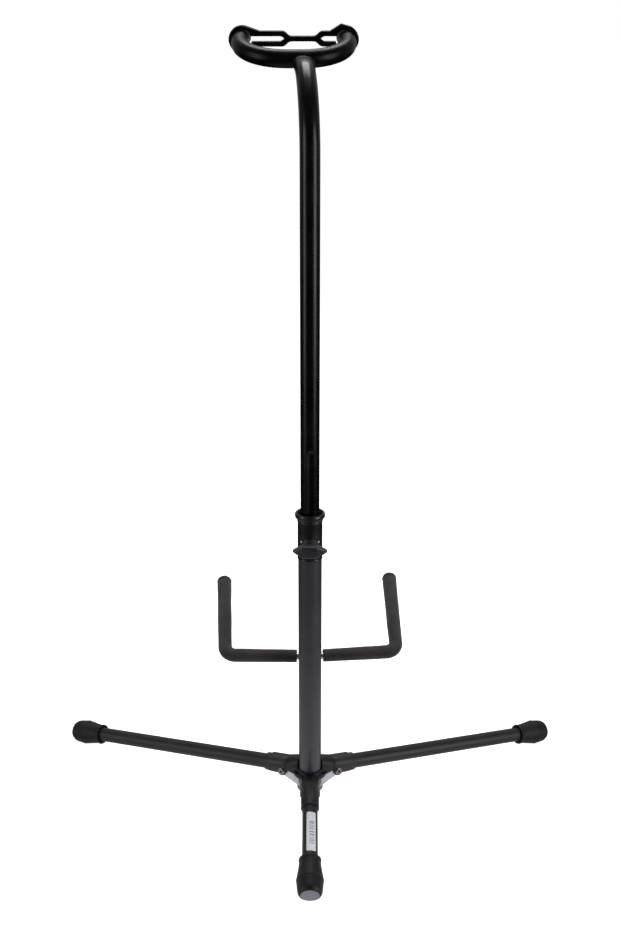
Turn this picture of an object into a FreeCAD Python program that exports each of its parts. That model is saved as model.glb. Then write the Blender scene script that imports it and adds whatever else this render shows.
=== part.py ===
import FreeCAD, Part
import math
import os
from FreeCAD import Placement, Rotation, Vector

# Folding instrument stand: a three-legged base, a telescoping mast with a padded
# yoke for the neck, and a foam-covered cradle for the body.
# Millimetres. Origin on the floor, on the column's axis. +Z up, +Y towards the
# instrument, so the short rear leg points along -Y.

os.makedirs("parts", exist_ok=True)

# --- column and mast -------------------------------------------------------
column_od = 25.4
column_wall = 1.2
column_bottom = 42.0
column_top = 366.0
mast_od = 20.0
mast_wall = 1.2
mast_bottom = 165.0
mast_bend_start = 732.6
mast_bend_radius = 92.0
mast_bend_angle = 68.0
mast_yaw = 5.5            # the mast stands turned a little in its guide groove
groove_radius = 6.5       # anti-rotation groove pressed into the mast's back
groove_centre = 13.8      # distance of the groove's arc centre from the mast axis
groove_top = 446.0
groove_bottom = 205.0

# --- yoke and strap --------------------------------------------------------
bar_y = 75.3
bar_z = 825.6
yoke_yaw = 1.4
yoke_shift = -13.6        # the yoke is welded a little off the mast's centre
yoke_tilt = 21.6
yoke_toe_in = 8.9         # the yoke's arms lean towards each other
yoke_half_width = 63.3
yoke_reach = 68.5
yoke_corner = 47.4
yoke_rod_radius = 5.0
yoke_cover_radius = 8.9
yoke_cap_length = 4.0     # the covering stops this far short of the arms' reach
yoke_cap_round = 2.6
strap_reach = 60.0        # distance of the strap in front of the bar
strap_rail = 5.1
strap_depth = 4.0
strap_gap = 0.06          # running fit of the strap's loops on the arms
loop_hole = 9.9           # the loops are larger than the arms and hang on them
loop_wall = 4.1
slot_half = 2.65          # half the height of the slot in each loop
slot_chamfer = 2.6
left_slot_end = -10.2     # inner ends of the two slots, from the strap's centre
right_slot_end = 28.2
gusset_start = 35.0
gusset_angle = 73.0
tab_start = 37.6          # pull tab on the right loop
tab_tip = (48.9, 15.0)

# --- collar and clamp ------------------------------------------------------
collar_radius = 13.25
collar_bottom = 321.0
flange_radius = 16.2
flange_top = 374.0
flange_bead = 2.2
bush_bottom = 330.0
clamp_z = 344.0
boss_radius = 7.0
boss_face = 26.5
screw_radius = 3.0
knob_back = 27.6
knob_face = 41.0
knob_width = 36.0
knob_height = 12.4
knob_flat = 7.5           # half length of the knob's flat sides
nut_flats = 10.0
nut_start = 21.2
pad_tip = 9.0             # the pad's tip sits in the groove, clear of its floor
pad_end = 13.0
nose_radius = 1.3         # the screw's nose turns in the pad
slide_gap = 0.08          # radial running clearance of the mast in its bush

# --- base ------------------------------------------------------------------
hub_z = 59.0              # height where the three leg axes meet the column axis
front_reach = 340.5
rear_reach = 154.2
foot_end_height = 10.2    # height of a foot's end centre above the floor
front_azimuth = 27.0      # front legs' angle from +X and -X, towards +Y
leg_od = 17.0
leg_wall = 1.2
socket_inner_end = 27.0   # distances along a leg from the column axis
socket_outer_end = 56.0
socket_radius = 10.2
front_rise = 11.0         # height of a socket's shoulder above its leg's axis
rear_rise = 10.4
front_ear = (14.4, 11.4)  # heights of a shoulder of the plate above its leg's axis: root, end
rear_ear = (2.6, 9.6)
ear_root = 10.0
tube_start = 42.5
pivot_along = 33.0
pivot_below = 4.0         # the pivot's distance below the leg's axis
pivot_radius = 2.5
rivet_head = 4.2
rivet_bore = 1.5
pivot_ear = 5.6           # radius of the socket round its pivot
lug_half_width = 7.0
lug_slot_top = 8.2        # roof of the socket's slot, above the leg's axis
lug_radius = 6.0
sheet = 1.6
ear_sheet = 2.0
foot_length = 42.5
foot_cup = 33.0           # how far the tube reaches into the foot
foot_ridge = 14.3
plate_bottom = 53.5       # black pressed plate round the column's foot
plate_top = 60.0
plate_collar = 14.8
plate_web = 19.0
bracket_bottom = 34.0     # plated bracket under the column
bracket_radius = 15.0
lug_root = 8.0
lug_root_top = 50.0
plug_flange = 3.0
bolt_radius = 3.0
label_start = 66.0
label_length = 48.0
label_width = 10.6
label_side = 1.4          # the label is stuck on a little to one side

# --- cradle ----------------------------------------------------------------
cradle_x = 1.5
cradle_y = 22.0
cradle_z = 191.4
cradle_yaw = 2.7
cradle_half_width = 97.5
cradle_bow = 6.0
cradle_arm = 115.0
cradle_tilt = 24.0
cradle_splay = 1.5        # the arms lean outwards
cradle_bend = 13.0
cradle_rod_radius = 4.0
foam_radius = 6.8
foam_tip_radius = 7.8
foam_start = 14.8         # the foam's distance from the column's axis
foam_short = 6.0          # the foam stops this far short of the arm's length
rod_short = 9.0
cradle_knee = 12.0        # where the rod turns forward on each side of its bracket
cradle_knee_radius = 40.0
bracket_width = 20.0
bracket_height = 18.0
bracket_back = 8.0
bracket_front = 32.0
bracket_split = 1.4
grip_screw_y = 28.4       # the grip's screw passes in front of the rod
grip_screw_radius = 2.0

fit_gap = 0.05            # clearance of assembled parts that do not move
column_radius = column_od / 2
mast_radius = mast_od / 2
leg_radius = leg_od / 2

X = Vector(1, 0, 0)
Y = Vector(0, 1, 0)
Z = Vector(0, 0, 1)


def save(name, shape):
    shape.exportStep("parts/" + name + ".step")


def turned(shape, axis, degrees, centre=Vector(0, 0, 0)):
    """A copy of the shape, turned about an axis through a point."""
    copy = shape.copy()
    copy.rotate(centre, axis, degrees)
    return copy


def moved(shape, offset):
    copy = shape.copy()
    copy.translate(offset)
    return copy


def rod(radius, start, end):
    """A solid cylinder between two points."""
    line = end - start
    return Part.makeCylinder(radius, line.Length, start, line)


def pipe(outer, inner, start, end):
    """A straight tube between two points."""
    return rod(outer, start, end).cut(rod(inner, start, end))


def revolved(points, base=Vector(0, 0, 0), axis=Z):
    """A solid of revolution from (radius, height) points, stood along an axis."""
    wire = Part.makePolygon([Vector(r, 0, h) for r, h in points + points[:1]])
    solid = Part.Face(wire).revolve(Vector(0, 0, 0), Z, 360)
    solid.Placement = Placement(base, Rotation(Z, axis))
    return solid


def slab(points, thickness, start):
    """A plate outlined by (x, z) points, from y = start to start + thickness."""
    wire = Part.makePolygon([Vector(x, start, z) for x, z in points + points[:1]])
    return Part.Face(wire).extrude(Vector(0, thickness, 0))


def bent_wire(points, radii):
    """Straight runs through the points, joined by tangent arcs at the inner ones."""
    edges = []
    start = points[0]
    for before, corner, after, radius in zip(points, points[1:], points[2:], radii):
        inward = (before - corner).normalize()
        outward = (after - corner).normalize()
        half_angle = inward.getAngle(outward) / 2
        setback = radius / math.tan(half_angle)
        arc_start = corner + inward * setback
        arc_end = corner + outward * setback
        middle = (inward + outward).normalize()
        arc_mid = corner + middle * (radius / math.sin(half_angle) - radius)
        edges.append(Part.LineSegment(start, arc_start).toShape())
        edges.append(Part.Arc(arc_start, arc_mid, arc_end).toShape())
        start = arc_end
    edges.append(Part.LineSegment(start, points[-1]).toShape())
    return Part.Wire(edges)


def bent_rod(radius, points, radii):
    """A round rod along a bent path."""
    path = bent_wire(points, radii)
    ring = Part.Wire(Part.makeCircle(radius, points[0], points[1] - points[0]))
    return path.makePipeShell([ring], True, True)


# --- mast and yoke ---------------------------------------------------------
bend = math.radians(mast_bend_angle)
bend_corner = mast_bend_start + mast_bend_radius * math.tan(bend / 2)
forward = Vector(0, math.cos(math.radians(yoke_tilt)), math.sin(math.radians(yoke_tilt)))
bar_centre = Vector(0, bar_y, bar_z)


def on_mast(shape):
    return turned(shape, Z, mast_yaw)


def on_yoke(shape):
    """Places a shape made in the yoke's own frame."""
    return turned(moved(shape, X * yoke_shift), Z, yoke_yaw)


def mast_rod(radius, bottom):
    """A rod along the mast's centre line, from a height up to the yoke's bar."""
    corner = Vector(0, 0, bend_corner)
    return bent_rod(radius, [Vector(0, 0, bottom), corner, bar_centre], [mast_bend_radius])


def groove(radius):
    """The pressed groove's cutting shape: an upright rod with round ends."""
    low = Vector(0, -groove_centre, groove_bottom + groove_radius)
    high = Vector(0, -groove_centre, groove_top - groove_radius)
    ends = Part.makeSphere(radius, low).fuse(Part.makeSphere(radius, high))
    return rod(radius, low, high).fuse(ends).removeSplitter()


def make_mast_tube():
    """A tube bent forward, with its groove, saddled to fit the yoke's rod."""
    outer = mast_rod(mast_radius, mast_bottom).cut(groove(groove_radius))
    inner = mast_rod(mast_radius - mast_wall, mast_bottom - 1).cut(groove(groove_radius + mast_wall))
    return on_mast(outer.cut(inner)).cut(on_yoke(yoke_rod_solid(yoke_rod_radius + fit_gap, 0)))


def yoke_arm(side):
    """The way one of the yoke's arms points, in the yoke's own frame."""
    toe_in = math.radians(yoke_toe_in)
    return forward * math.cos(toe_in) - X * (side * math.sin(toe_in))


def yoke_corner_at(side):
    return bar_centre + X * (side * yoke_half_width)


def arm_end(side, extra):
    """The end of the covering on one arm, or a point beyond it."""
    return yoke_corner_at(side) + yoke_arm(side) * (yoke_reach - yoke_cap_length + extra)


def yoke_rod_solid(radius, extra):
    """A rod along the yoke's U; extra lengthens it at both ends."""
    points = [arm_end(-1, extra), yoke_corner_at(-1), yoke_corner_at(1), arm_end(1, extra)]
    return bent_rod(radius, points, [yoke_corner, yoke_corner])


def make_yoke_cover():
    """The thick covering, bored for the rod and opened where the mast enters."""
    cover = yoke_rod_solid(yoke_cover_radius, 0)
    bore = yoke_rod_solid(yoke_rod_radius + fit_gap, 1)
    entry = mast_rod(mast_radius + fit_gap, mast_bend_start)
    bored = on_yoke(cover.cut(bore)).cut(on_mast(entry))
    return max(bored.Solids, key=lambda solid: solid.Volume)


def make_yoke_cap(side):
    """A domed cap that closes one end of the yoke's cover."""
    rim = yoke_cover_radius - yoke_cap_round
    skirt = 2.2
    dome = [(0, 0), (yoke_cover_radius, 0), (yoke_cover_radius, skirt)]
    for degrees in (23, 46, 69, 90):
        a = math.radians(degrees)
        dome.append((rim + yoke_cap_round * math.cos(a), skirt + yoke_cap_round * math.sin(a)))
    dome.append((0, skirt + yoke_cap_round + 0.3))
    return revolved(dome, arm_end(side, 0), yoke_arm(side))


def flat_face(points):
    """A face in the XZ plane from (x, z) points."""
    return Part.Face(Part.makePolygon([Vector(x, 0, z) for x, z in points + points[:1]]))


# The loops hang down and inwards on the arms until they touch.
loop_slack = loop_hole - yoke_cover_radius - strap_gap
loop_drop = loop_slack * math.sqrt(0.5)
loop_centre = yoke_half_width - strap_reach * math.tan(math.radians(yoke_toe_in)) - loop_drop
ring_radius = loop_hole + loop_wall


def slot_face(width, side, slot_end):
    """The slot of one loop, grown by width, from the arm towards the strap's middle."""
    half = slot_half + width
    end = slot_end - side * width
    chamfer = slot_chamfer + width / 2
    start = end + side * chamfer
    outer = side * loop_centre
    tip = half - chamfer
    upper = [(outer, half), (start, half), (end, tip)]
    return flat_face(upper + [(x, -z) for x, z in reversed(upper)])


def loop_gusset(side):
    """The strap widens from its rails to a tangent of the ring."""
    angle = math.radians(gusset_angle)
    far = side * (loop_centre - ring_radius * math.cos(angle))
    near = side * gusset_start
    high = ring_radius * math.sin(angle)
    low = slot_half + strap_rail
    return flat_face([(far, high - loop_drop), (near, low), (near, -low), (far, -high - loop_drop)])


def make_strap():
    """A one-piece moulded strap: a loop round each arm, a middle bar and a pull tab."""
    sides = ((-1, left_slot_end), (1, right_slot_end))
    depth = Y * strap_depth
    bar_length = right_slot_end - left_slot_end - 2
    bar = Part.makeBox(bar_length, strap_depth, strap_rail, Vector(left_slot_end + 1, 0, -strap_rail / 2))
    tab_low = (tab_start, slot_half + strap_rail)
    tab_root = ring_radius - loop_drop - 0.2
    tab = flat_face([tab_low, tab_tip, (loop_centre + 2, tab_root), (loop_centre, 0)])
    pieces = [tab.extrude(depth)]
    for side, slot_end in sides:
        centre = X * (side * loop_centre) - Z * loop_drop
        pieces.append(rod(ring_radius, centre, centre + depth))
        pieces.append(slot_face(strap_rail, side, slot_end).extrude(depth))
        pieces.append(loop_gusset(side).extrude(depth))
    solid = moved(bar.fuse(pieces).removeSplitter(), depth * -0.5)
    for side, slot_end in sides:
        slot = moved(slot_face(0, side, slot_end).extrude(depth * 3), depth * -1.5)
        solid = solid.cut(slot)
    strap = moved(turned(solid, X, yoke_tilt), bar_centre + forward * strap_reach)
    for side, slot_end in sides:
        shift = (forward.cross(X) - X * side) * loop_drop
        start = yoke_corner_at(side) + yoke_arm(side) * yoke_corner
        strap = strap.cut(rod(loop_hole, start + shift, arm_end(side, 10) + shift))
    return strap


def make_mast_plug():
    """A guide plug in the mast's lower end that runs in the column."""
    guide_radius = column_radius - column_wall - slide_gap
    stem_radius = mast_radius - mast_wall - fit_gap
    stem = rod(stem_radius, Z * mast_bottom, Z * (mast_bottom + 18))
    head = rod(guide_radius, Z * (mast_bottom - 9), Z * mast_bottom)
    return head.fuse(stem).removeSplitter()


# --- column, collar and clamp ----------------------------------------------
screw_axis = -Y
clamp_at = Vector(0, 0, clamp_z)


def along_screw(distance):
    return clamp_at + screw_axis * distance


def make_column():
    inner = column_radius - column_wall
    tube = pipe(column_radius, inner, Z * column_bottom, Z * column_top)
    hole = rod(screw_radius + 1, along_screw(8), along_screw(20))
    return tube.cut(hole)


def make_column_plug():
    inner = column_radius - column_wall - fit_gap
    flange_bottom = column_bottom - plug_flange
    stem = rod(inner, Z * column_bottom, Z * (column_bottom + 10))
    head = rod(column_radius, Z * flange_bottom, Z * column_bottom)
    thread = rod(bolt_radius, Z * (flange_bottom - 1), Z * (column_bottom + 11))
    return stem.fuse(head).removeSplitter().cut(thread)


def make_collar():
    """Sleeve over the column, bush inside it, cupped flange on top, and the screw boss."""
    sleeve_bore = column_radius + fit_gap
    bush_outer = column_radius - column_wall - fit_gap
    bush_bore = mast_radius + slide_gap
    sleeve = pipe(collar_radius, sleeve_bore, Z * collar_bottom, Z * column_top)
    bush = pipe(bush_outer, bush_bore, Z * bush_bottom, Z * column_top)
    bead_r = flange_radius - flange_bead
    bead_z = flange_top - 1.5 * flange_bead
    cup_floor = column_top + 2.4
    flange = [(bush_bore, column_top), (collar_radius, column_top)]
    for step in range(9):
        a = math.radians(-70 + step * 32.5)
        flange.append((bead_r + flange_bead * math.cos(a), bead_z + 1.5 * flange_bead * math.sin(a)))
    flange += [(bush_bore + 1.6, cup_floor), (bush_bore, cup_floor)]
    body = sleeve.fuse([bush, revolved(flange)])
    boss = rod(boss_radius, along_screw(column_radius), along_screw(boss_face))
    boss = boss.cut(rod(sleeve_bore, Z * (clamp_z - 20), Z * (clamp_z + 20)))
    body = body.fuse(boss).removeSplitter()
    body = body.cut(rod(screw_radius + 0.4, along_screw(5), along_screw(boss_face + 1)))
    return body.cut(hexagon(nut_flats + 0.1, nut_start - 0.1, boss_face + 1))


def hexagon(flats, start, end):
    """A hexagonal prism along the screw's axis, between two distances from the mast axis."""
    corner = flats / 2 / math.cos(math.radians(30))
    angles = [math.radians(60 * k) for k in range(7)]
    ring = [Vector(corner * math.cos(a), -start, clamp_z + corner * math.sin(a)) for a in angles]
    return Part.Face(Part.makePolygon(ring)).extrude(screw_axis * (end - start))


def make_clamp_nut():
    nut = hexagon(nut_flats, nut_start, nut_start + 5)
    return nut.cut(rod(screw_radius + fit_gap, along_screw(10), along_screw(40)))


def make_clamp_pad():
    """A nylon tip that presses on the groove and does not turn with the screw."""
    length = pad_end - pad_tip
    profile = [(0, 0), (1.8, 0), (2.8, 1.0), (2.8, length), (0, length)]
    pad = revolved(profile, along_screw(pad_tip), screw_axis)
    return pad.cut(rod(nose_radius, along_screw(pad_end - 2.2), along_screw(pad_end + 1)))


def make_clamp_screw():
    shank = rod(screw_radius, along_screw(pad_end + fit_gap), along_screw(knob_face - 4))
    nose = rod(nose_radius - fit_gap, along_screw(pad_end - 2.0), along_screw(pad_end + 1))
    return shank.fuse(nose).removeSplitter()


def make_knob():
    """A wing knob: a six-sided lens-shaped head on a round neck."""
    half = knob_width / 2
    tall = knob_height / 2
    tip = 1.3
    outline = [(-half, tip), (-knob_flat, tall), (knob_flat, tall), (half, tip)]
    outline += [(half, -tip), (knob_flat, -tall), (-knob_flat, -tall), (-half, -tip)]
    head = slab(outline, knob_face - knob_back - 4, -knob_face)
    head = head.makeFillet(1.1, head.Edges)
    neck = rod(5.6, screw_axis * (knob_face - 3), screw_axis * knob_back)
    knob = moved(head.fuse(neck).removeSplitter(), clamp_at)
    return knob.cut(rod(screw_radius, along_screw(knob_back - 1), along_screw(knob_face - 4)))


# --- base ------------------------------------------------------------------
front_slope = math.degrees(math.atan2(hub_z - foot_end_height, front_reach))
rear_slope = math.degrees(math.atan2(hub_z - foot_end_height, rear_reach))
front_leg = {"slope": front_slope, "reach": front_reach, "rise": front_rise, "ear": front_ear}
rear_leg = {"slope": rear_slope, "reach": rear_reach, "rise": rear_rise, "ear": rear_ear}
legs = {
    "left": dict(front_leg, azimuth=180 - front_azimuth),
    "right": dict(front_leg, azimuth=front_azimuth),
    "rear": dict(rear_leg, azimuth=270.0),
}


def on_leg(shape, leg):
    """Places a shape made along +X onto a leg's axis."""
    tipped = turned(shape, Y, leg["slope"])
    return moved(turned(tipped, Z, leg["azimuth"]), Z * hub_z)


def leg_length(leg):
    return leg["reach"] / math.cos(math.radians(leg["slope"]))


def pivot_rod(radius, half_length):
    """A rod on the pivot's axis, in the leg's own frame."""
    centre = Vector(pivot_along, 0, -pivot_below)
    return rod(radius, centre - Y * half_length, centre + Y * half_length)


def make_socket(leg):
    """A moulded sleeve, deeper and open below at its inner end, where the hub's lug enters."""
    rise = leg["rise"]
    sleeve = rod(socket_radius, X * tube_start, X * socket_outer_end)
    shoulder_end = tube_start + 8
    top = [(socket_inner_end, rise), (shoulder_end, socket_radius - 0.5), (shoulder_end, -6)]
    low = [(pivot_along + 1, -pivot_below - pivot_ear), (socket_inner_end + 0.6, -pivot_below + 1)]
    shoulder = slab(top + low, 2 * socket_radius, -socket_radius)
    shoulder = shoulder.common(rod(rise + 0.4, X * (socket_inner_end - 1), X * shoulder_end))
    body = sleeve.fuse([shoulder, pivot_rod(pivot_ear, socket_radius)]).removeSplitter()
    slot_half_width = lug_half_width + 0.3
    slot_corner = Vector(tube_start - 30.5, -slot_half_width, lug_slot_top - 40)
    slot = Part.makeBox(30, 2 * slot_half_width, 40, slot_corner)
    bore = rod(leg_radius + fit_gap, X * (tube_start - 0.5), X * (socket_outer_end + 1))
    return body.cut(slot).cut(bore).cut(pivot_rod(pivot_radius + fit_gap, 20))


def make_leg_tube(leg):
    end = leg_length(leg) - foot_length + foot_cup
    return pipe(leg_radius, leg_radius - leg_wall, X * tube_start, X * end)


def make_foot(leg):
    """A rubber cup with a ridge round it, cut flat where it meets the floor."""
    bore = leg_radius + fit_gap
    floor_of_cup = foot_length - foot_cup
    profile = [(0, 0.4), (9.6, 0), (11.4, 1.0), (12.7, 3.4), (13.3, 6.5)]
    profile += [(foot_ridge, 17.6), (foot_ridge, 19.0), (12.5, 31.0), (11.6, 37.6), (10.3, 41.0)]
    profile += [(bore + 0.4, foot_length), (bore, foot_length), (bore, floor_of_cup), (0, floor_of_cup)]
    cup = on_leg(revolved(profile, X * leg_length(leg), -X), leg)
    below_floor = Part.makeBox(1000, 1000, 50, Vector(-500, -500, -50))
    return cup.cut(below_floor)


def make_rivet():
    """A tubular rivet through one socket and its lug, with a rolled head at each end."""
    reach = socket_radius + 0.15
    head = 1.1
    profile = [(0, 0), (rivet_head, 0), (rivet_head, 0.5), (rivet_head - 0.8, head), (0, head)]
    shank = pivot_rod(pivot_radius, reach)
    for side in (-1, 1):
        centre = Vector(pivot_along, side * reach, -pivot_below)
        shank = shank.fuse(revolved(profile, centre, Y * side))
    return shank.cut(pivot_rod(rivet_bore, reach + head + 1))


def lug(leg):
    """One channel-shaped arm of the lower bracket, made in its leg's upright plane."""
    slope = math.radians(leg["slope"])
    pivot_r = pivot_along * math.cos(slope) - pivot_below * math.sin(slope)
    pivot_z = hub_z - pivot_along * math.sin(slope) - pivot_below * math.cos(slope)
    under = pivot_z - lug_radius
    lower = [(lug_root, bracket_bottom), (pivot_r, under)]
    cheek = lower + [(pivot_r, pivot_z + lug_radius), (lug_root, lug_root_top)]
    web = lower + [(pivot_r, under + sheet), (lug_root, bracket_bottom + sheet)]
    width = 2 * lug_half_width
    pivot = Vector(pivot_r, 0, pivot_z)
    side = Y * lug_half_width
    plate = slab(cheek, width, -lug_half_width).fuse(rod(lug_radius, pivot - side, pivot + side))
    inside = Part.makeBox(60, width - 2 * sheet, 80, Vector(0, -lug_half_width + sheet, 0))
    channel = plate.cut(inside).fuse(slab(web, width, -lug_half_width))
    hole = rod(pivot_radius + fit_gap, pivot - Y * 20, pivot + Y * 20)
    return turned(channel.cut(hole), Z, leg["azimuth"])


def make_bottom_bracket():
    """A plated bracket under the column, with a channel-shaped lug for each leg."""
    seat_top = column_bottom - plug_flange - fit_gap
    disc = rod(bracket_radius, Z * bracket_bottom, Z * (bracket_bottom + sheet))
    seat = rod(10, Z * bracket_bottom, Z * seat_top)
    clear = rod(column_radius + 0.3, Z * seat_top, Z * hub_z)
    body = disc.fuse([seat] + [lug(leg) for leg in legs.values()]).cut(clear).removeSplitter()
    return body.cut(rod(bolt_radius + 0.2, Z * (bracket_bottom - 4), Z * hub_z))


def ear(leg):
    """A channel-shaped shoulder that the inner end of a leg's socket butts against."""
    root_rise, end_rise = leg["ear"]
    crown = leg["rise"] + 0.4
    half = socket_radius - 0.3
    end = socket_inner_end - 0.35
    outline = [(ear_root, root_rise), (end, end_rise), (end, -1.5), (18, -5), (ear_root, -5)]
    block = slab(outline, 2 * half, -half)
    root_centre = Vector(ear_root, 0, root_rise - crown)
    end_centre = Vector(end, 0, end_rise - crown)
    beyond = end_centre - root_centre
    round_top = rod(crown, root_centre - beyond, end_centre + beyond)
    shoulder_z = min(root_centre.z, 0)
    below = Part.makeBox(60, 2 * half, 60, Vector(0, -half, shoulder_z - 60))
    inside = rod(crown - ear_sheet, root_centre - beyond, end_centre + beyond).fuse(below)
    gap = Part.makeBox(60, 2 * (half - ear_sheet), 80, Vector(0, -half + ear_sheet, -60))
    return on_leg(block.common(round_top.fuse(below)).cut(inside.common(gap)), leg)


def make_top_plate():
    """A pressed black plate: a collar round the column, a web and three shoulders."""
    collar = rod(plate_collar, Z * plate_bottom, Z * plate_top)
    web = rod(plate_web, Z * plate_bottom, Z * (plate_bottom + ear_sheet))
    body = collar.fuse([web] + [ear(leg) for leg in legs.values()])
    bore = rod(column_radius + fit_gap, Z * column_bottom, Z * (hub_z + 30))
    return body.cut(bore).removeSplitter()


def make_hub_bolt():
    """The bolt that holds the bracket to the column's end plug."""
    head_bottom = bracket_bottom - 3.25
    shank = rod(bolt_radius - fit_gap, Z * (head_bottom + 2), Z * (column_bottom + 8))
    head = revolved([(0, 0), (3.6, 0), (5.4, 1.2), (5.6, 3.2), (0, 3.2)], Z * head_bottom)
    return head.fuse(shank).removeSplitter()


def make_label():
    """A blank paper label on top of the rear leg."""
    band = pipe(leg_radius + 0.2, leg_radius + 0.01, X * label_start, X * (label_start + label_length))
    corner = Vector(label_start, label_side - label_width / 2, 0)
    return on_leg(band.common(Part.makeBox(label_length, label_width, 12, corner)), legs["rear"])


# --- cradle ----------------------------------------------------------------
cradle_centre = Vector(cradle_x, cradle_y, cradle_z)


def in_cradle(shape):
    return moved(turned(shape, Z, cradle_yaw), cradle_centre)


def arm_direction(side):
    """The way one arm points, in the cradle's own frame."""
    tilt = math.radians(cradle_tilt)
    splay = math.radians(cradle_splay)
    level = math.cos(tilt)
    return Vector(side * level * math.sin(splay), level * math.cos(splay), math.sin(tilt))


def cradle_corner(side):
    return Vector(side * cradle_half_width, cradle_bow, 0)


def cradle_half(radius, side, gap):
    """One half of the cradle's rod, from the middle of the bracket to the tip."""
    knee = Vector(side * cradle_knee, 0, 0)
    corner = cradle_corner(side)
    tip = corner + arm_direction(side) * (cradle_arm - rod_short + gap)
    return bent_rod(radius, [Vector(0, 0, 0), knee, corner, tip], [cradle_knee_radius, cradle_bend])


def make_cradle_rod():
    left = cradle_half(cradle_rod_radius, -1, 0)
    right = cradle_half(cradle_rod_radius, 1, 0)
    return in_cradle(left.fuse(right).removeSplitter())


def make_foam(side):
    """A foam sleeve from beside the column, round the corner and up the arm, thicker at its tip."""
    knee = Vector(side * cradle_knee, 0, 0)
    corner = cradle_corner(side)
    start = knee + (corner - knee).normalize() * (foam_start - side * cradle_x - cradle_knee)
    end = corner + arm_direction(side) * (cradle_arm - foam_short)
    near = Part.Wire(Part.makeCircle(foam_radius, start, corner - start))
    far = Part.Wire(Part.makeCircle(foam_tip_radius, end, end - corner))
    sleeve = bent_wire([start, corner, end], [cradle_bend]).makePipeShell([near, far], True, True)
    return in_cradle(sleeve.cut(cradle_half(cradle_rod_radius + fit_gap, side, fit_gap)))


def make_cradle_cap(side):
    """A domed cap on the end of a foam sleeve."""
    base = cradle_corner(side) + arm_direction(side) * (cradle_arm - foam_short + fit_gap)
    rim = foam_tip_radius + 0.2
    skirt = 2.0
    height = 5.0
    dome = [(0, 0), (foam_tip_radius, 0), (rim, skirt)]
    for degrees in (20, 40, 60, 78):
        a = math.radians(degrees)
        dome.append((rim * math.cos(a), skirt + height * math.sin(a)))
    dome.append((0, skirt + height))
    return in_cradle(revolved(dome, base, arm_direction(side)))


def make_cradle_bracket():
    """A saddle welded to the column's front that the cradle's rod is gripped in."""
    corner = Vector(-bracket_width / 2, bracket_back, cradle_z - bracket_height / 2)
    block = Part.makeBox(bracket_width, bracket_front - bracket_back, bracket_height, corner)
    block = block.makeFillet(2.0, [edge for edge in block.Edges if abs(edge.tangentAt(0).x) > 0.9])
    block = block.cut(rod(column_radius + fit_gap, Z * (cradle_z - 30), Z * (cradle_z + 30)))
    grip = rod(cradle_rod_radius + fit_gap, X * -30, X * 30)
    split_corner = Vector(-30, cradle_y, cradle_z - bracket_split / 2)
    split = Part.makeBox(60, 40, bracket_split, split_corner)
    screw_at = Vector(0, grip_screw_y, cradle_z)
    screw_hole = rod(grip_screw_radius + 0.1, screw_at - Z * 30, screw_at + Z * 30)
    return block.cut(in_cradle(grip)).cut(split).cut(screw_hole)


def make_cradle_screw():
    top = Vector(0, grip_screw_y, cradle_z + bracket_height / 2 + fit_gap)
    shank = rod(grip_screw_radius, top - Z * bracket_height, top)
    head = revolved([(0, 0), (3.4, 0), (3.4, 1.6), (2.4, 2.8), (0, 2.8)], top)
    return shank.fuse(head).removeSplitter()


# --- write every part ------------------------------------------------------
save("mast_tube", make_mast_tube())
save("mast_guide_plug", on_mast(make_mast_plug()))
save("yoke_rod", on_yoke(yoke_rod_solid(yoke_rod_radius, -0.3)))
save("yoke_cover", make_yoke_cover())
save("safety_strap", on_yoke(make_strap()))
for side_name, sign in (("left", -1), ("right", 1)):
    save("yoke_cap_" + side_name, on_yoke(make_yoke_cap(sign)))
    save("cradle_foam_" + side_name, make_foam(sign))
    save("cradle_cap_" + side_name, make_cradle_cap(sign))

save("outer_column", make_column())
save("column_end_plug", make_column_plug())
save("column_collar", make_collar())
save("clamp_nut", make_clamp_nut())
save("clamp_pad", make_clamp_pad())
save("clamp_screw", make_clamp_screw())
save("clamp_knob", make_knob())

for leg_name, leg_data in legs.items():
    save("leg_socket_" + leg_name, on_leg(make_socket(leg_data), leg_data))
    save("leg_tube_" + leg_name, on_leg(make_leg_tube(leg_data), leg_data))
    save("foot_" + leg_name, make_foot(leg_data))
    save("pivot_rivet_" + leg_name, on_leg(make_rivet(), leg_data))

save("hub_top_plate", make_top_plate())
save("hub_bottom_bracket", make_bottom_bracket())
save("hub_bolt", make_hub_bolt())
save("rear_leg_label", make_label())
save("cradle_rod", make_cradle_rod())
save("cradle_bracket", make_cradle_bracket())
save("cradle_screw", make_cradle_screw())
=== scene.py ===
import math

import bmesh
import bpy
from mathutils import Matrix, Vector, noise


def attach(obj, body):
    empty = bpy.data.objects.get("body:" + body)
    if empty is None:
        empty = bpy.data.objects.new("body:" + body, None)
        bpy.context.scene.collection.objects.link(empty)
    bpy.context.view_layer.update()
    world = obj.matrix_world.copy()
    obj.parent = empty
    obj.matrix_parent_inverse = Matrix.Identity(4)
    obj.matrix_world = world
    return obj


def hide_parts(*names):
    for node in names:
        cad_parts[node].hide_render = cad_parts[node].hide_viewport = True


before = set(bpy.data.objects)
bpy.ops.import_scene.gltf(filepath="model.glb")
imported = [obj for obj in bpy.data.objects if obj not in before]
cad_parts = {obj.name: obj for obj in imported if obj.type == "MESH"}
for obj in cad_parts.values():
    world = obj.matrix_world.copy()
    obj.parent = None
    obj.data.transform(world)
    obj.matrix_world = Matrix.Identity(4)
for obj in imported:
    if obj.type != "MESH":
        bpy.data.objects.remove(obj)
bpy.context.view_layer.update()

# Folding instrument stand. Lengths are in millimetres until a mesh is written, and
# the dimensions repeat those of the CAD model.
MM = 0.001
SLIVER = 2e-6             # metres; mesh edges shorter than this are faults of a cut
WELD = 1e-6               # metres; vertices of a filled curve nearer than this are one
ON_AXIS = 1e-6            # a radius below this is on the axis
X = Vector((1, 0, 0))
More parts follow.
